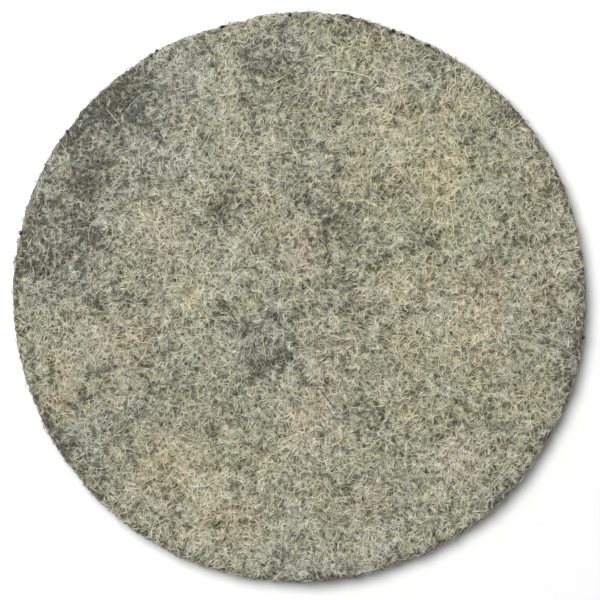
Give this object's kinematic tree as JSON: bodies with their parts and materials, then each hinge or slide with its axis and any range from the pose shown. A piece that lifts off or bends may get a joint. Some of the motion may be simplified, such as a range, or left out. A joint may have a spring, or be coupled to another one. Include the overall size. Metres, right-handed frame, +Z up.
{
  "type": "burnishing pad",
  "caption": "Round lofty pad of matted natural hair and fibre with a flat under face and a soft die-cut rim, spun under a floor machine to burnish floor finish.",
  "frame": {"origin": "middle of the flat under face that the pad lies on", "axes": "+Z up out of the upper face, along the axis that the pad spins about; +Y towards the top of the picture and +X towards its right"},
  "size_m": [0.511, 0.509, 0.0277],
  "materials": {
    "hair_blend": "matt matted hair web, mottled grey, buff and straw"
  },
  "bodies": {
    "root": {"hair_pad": "hair_blend"}
  },
  "joints": []
}
